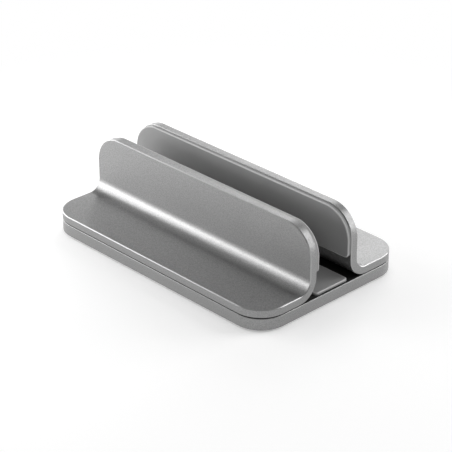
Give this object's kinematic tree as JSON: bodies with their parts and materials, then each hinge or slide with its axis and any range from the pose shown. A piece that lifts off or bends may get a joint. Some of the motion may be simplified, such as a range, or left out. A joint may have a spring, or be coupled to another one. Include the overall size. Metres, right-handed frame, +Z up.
{
  "type": "vertical laptop stand",
  "caption": "Vertical laptop stand: rounded base plate with opposing L-shaped brackets that slide together and hold a closed device on edge between soft grey pads.",
  "frame": {"origin": "middle of the base's outline, on the surface that the feet stand on", "axes": "+X runs along the slot, +Y across it towards the rear bracket, +Z up"},
  "size_m": [0.18, 0.115, 0.0518],
  "materials": {
    "anodised_aluminium": "fine bead-blasted, space-grey anodised",
    "grey_silicone": "smooth matt",
    "black_liner": "matt sheet",
    "foot_silicone": "matt, non-slip",
    "zinc_steel": "bright turned"
  },
  "bodies": {
    "base": {"base_plate": "anodised_aluminium", "slide_liner": "black_liner", "floor_pad": "grey_silicone", "front_left_foot": "foot_silicone", "front_right_foot": "foot_silicone", "rear_left_foot": "foot_silicone", "rear_right_foot": "foot_silicone"},
    "front_carriage": {"front_bracket": "anodised_aluminium", "front_wall_pad": "grey_silicone"},
    "rear_carriage": {"rear_bracket": "anodised_aluminium", "rear_wall_pad": "grey_silicone"},
    "front_left_clamp_ring": {"front_left_washer": "zinc_steel"},
    "front_left_clamp_screw": {"front_left_screw": "zinc_steel"},
    "front_right_clamp_ring": {"front_right_washer": "zinc_steel"},
    "front_right_clamp_screw": {"front_right_screw": "zinc_steel"},
    "rear_left_clamp_ring": {"rear_left_washer": "zinc_steel"},
    "rear_left_clamp_screw": {"rear_left_screw": "zinc_steel"},
    "rear_right_clamp_ring": {"rear_right_washer": "zinc_steel"},
    "rear_right_clamp_screw": {"rear_right_screw": "zinc_steel"}
  },
  "joints": [
    {"name": "front_bracket_slide", "type": "slide", "parent": "base", "child": "front_carriage", "axis": [0, 1, 0], "range_m": [0, 0.006]},
    {"name": "rear_bracket_slide", "type": "slide", "parent": "base", "child": "rear_carriage", "axis": [0, -1, 0], "range_m": [0, 0.006]},
    {"name": "front_left_screw_lower", "type": "slide", "parent": "front_carriage", "child": "front_left_clamp_ring", "axis": [0, 0, -1], "range_m": [0, 0.0007]},
    {"name": "front_left_screw_turn", "type": "hinge", "parent": "front_left_clamp_ring", "child": "front_left_clamp_screw", "pos_m": [-0.04, -0.042, 0.00495], "axis": [0, 0, -1], "range_deg": [0, 360]},
    {"name": "front_right_screw_lower", "type": "slide", "parent": "front_carriage", "child": "front_right_clamp_ring", "axis": [0, 0, -1], "range_m": [0, 0.0007]},
    {"name": "front_right_screw_turn", "type": "hinge", "parent": "front_right_clamp_ring", "child": "front_right_clamp_screw", "pos_m": [0.04, -0.042, 0.00495], "axis": [0, 0, -1], "range_deg": [0, 360]},
    {"name": "rear_left_screw_lower", "type": "slide", "parent": "rear_carriage", "child": "rear_left_clamp_ring", "axis": [0, 0, -1], "range_m": [0, 0.0007]},
    {"name": "rear_left_screw_turn", "type": "hinge", "parent": "rear_left_clamp_ring", "child": "rear_left_clamp_screw", "pos_m": [-0.04, 0.042, 0.00495], "axis": [0, 0, -1], "range_deg": [0, 360]},
    {"name": "rear_right_screw_lower", "type": "slide", "parent": "rear_carriage", "child": "rear_right_clamp_ring", "axis": [0, 0, -1], "range_m": [0, 0.0007]},
    {"name": "rear_right_screw_turn", "type": "hinge", "parent": "rear_right_clamp_ring", "child": "rear_right_clamp_screw", "pos_m": [0.04, 0.042, 0.00495], "axis": [0, 0, -1], "range_deg": [0, 360]}
  ],
  "couplings": [
    {"joint": "front_left_screw_turn", "follows": "front_left_screw_lower", "rad_per_m": 8976},
    {"joint": "front_right_screw_turn", "follows": "front_right_screw_lower", "rad_per_m": 8976},
    {"joint": "rear_left_screw_turn", "follows": "rear_left_screw_lower", "rad_per_m": 8976},
    {"joint": "rear_right_screw_turn", "follows": "rear_right_screw_lower", "rad_per_m": 8976}
  ]
}
